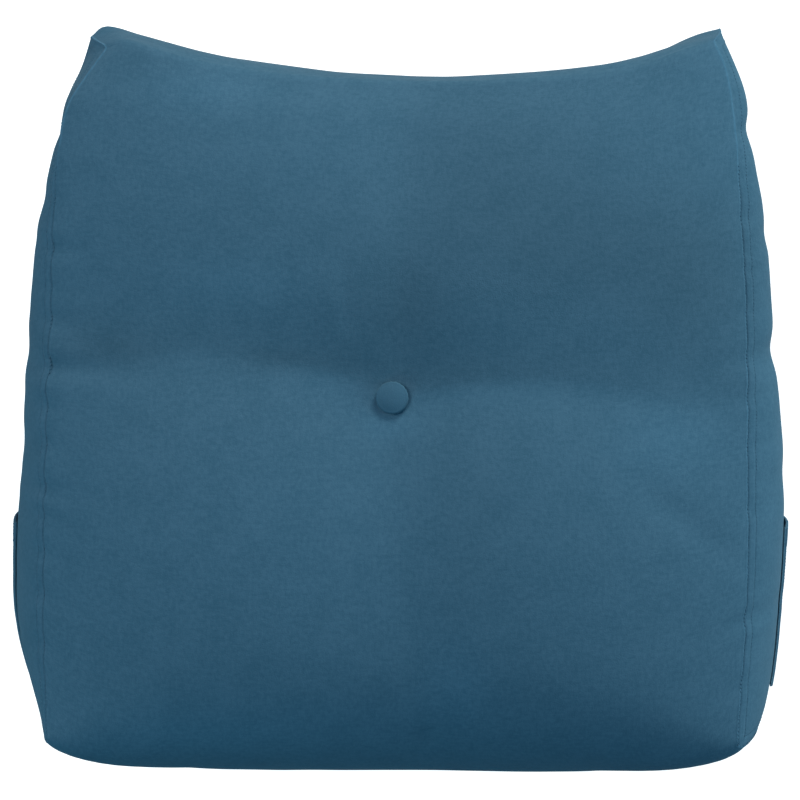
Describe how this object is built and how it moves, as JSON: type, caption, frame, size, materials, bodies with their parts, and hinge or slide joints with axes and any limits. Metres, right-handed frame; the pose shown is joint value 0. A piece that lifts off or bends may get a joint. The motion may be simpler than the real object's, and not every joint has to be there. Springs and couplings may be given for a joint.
{
  "type": "wedge back cushion",
  "caption": "Wedge-shaped back cushion in short-pile fabric, with a drawn-in top edge, a covered button in the middle of its front and a pocket on each side, lying on its back.",
  "frame": {"origin": "on the surface that the cushion lies on, under the middle of its box", "axes": "+X across the cushion to the right of someone who looks at its front, +Y from its thick base to its thin top, +Z out of its flat back"},
  "size_m": [0.7038, 0.6552, 0.2334],
  "materials": {
    "cover_cloth": "matte short pile",
    "button_cloth": "matte short pile",
    "pocket_cloth": "matte short pile"
  },
  "bodies": {
    "root": {"cushion": "cover_cloth", "button": "button_cloth", "pocket_left": "pocket_cloth", "pocket_right": "pocket_cloth"}
  },
  "joints": []
}
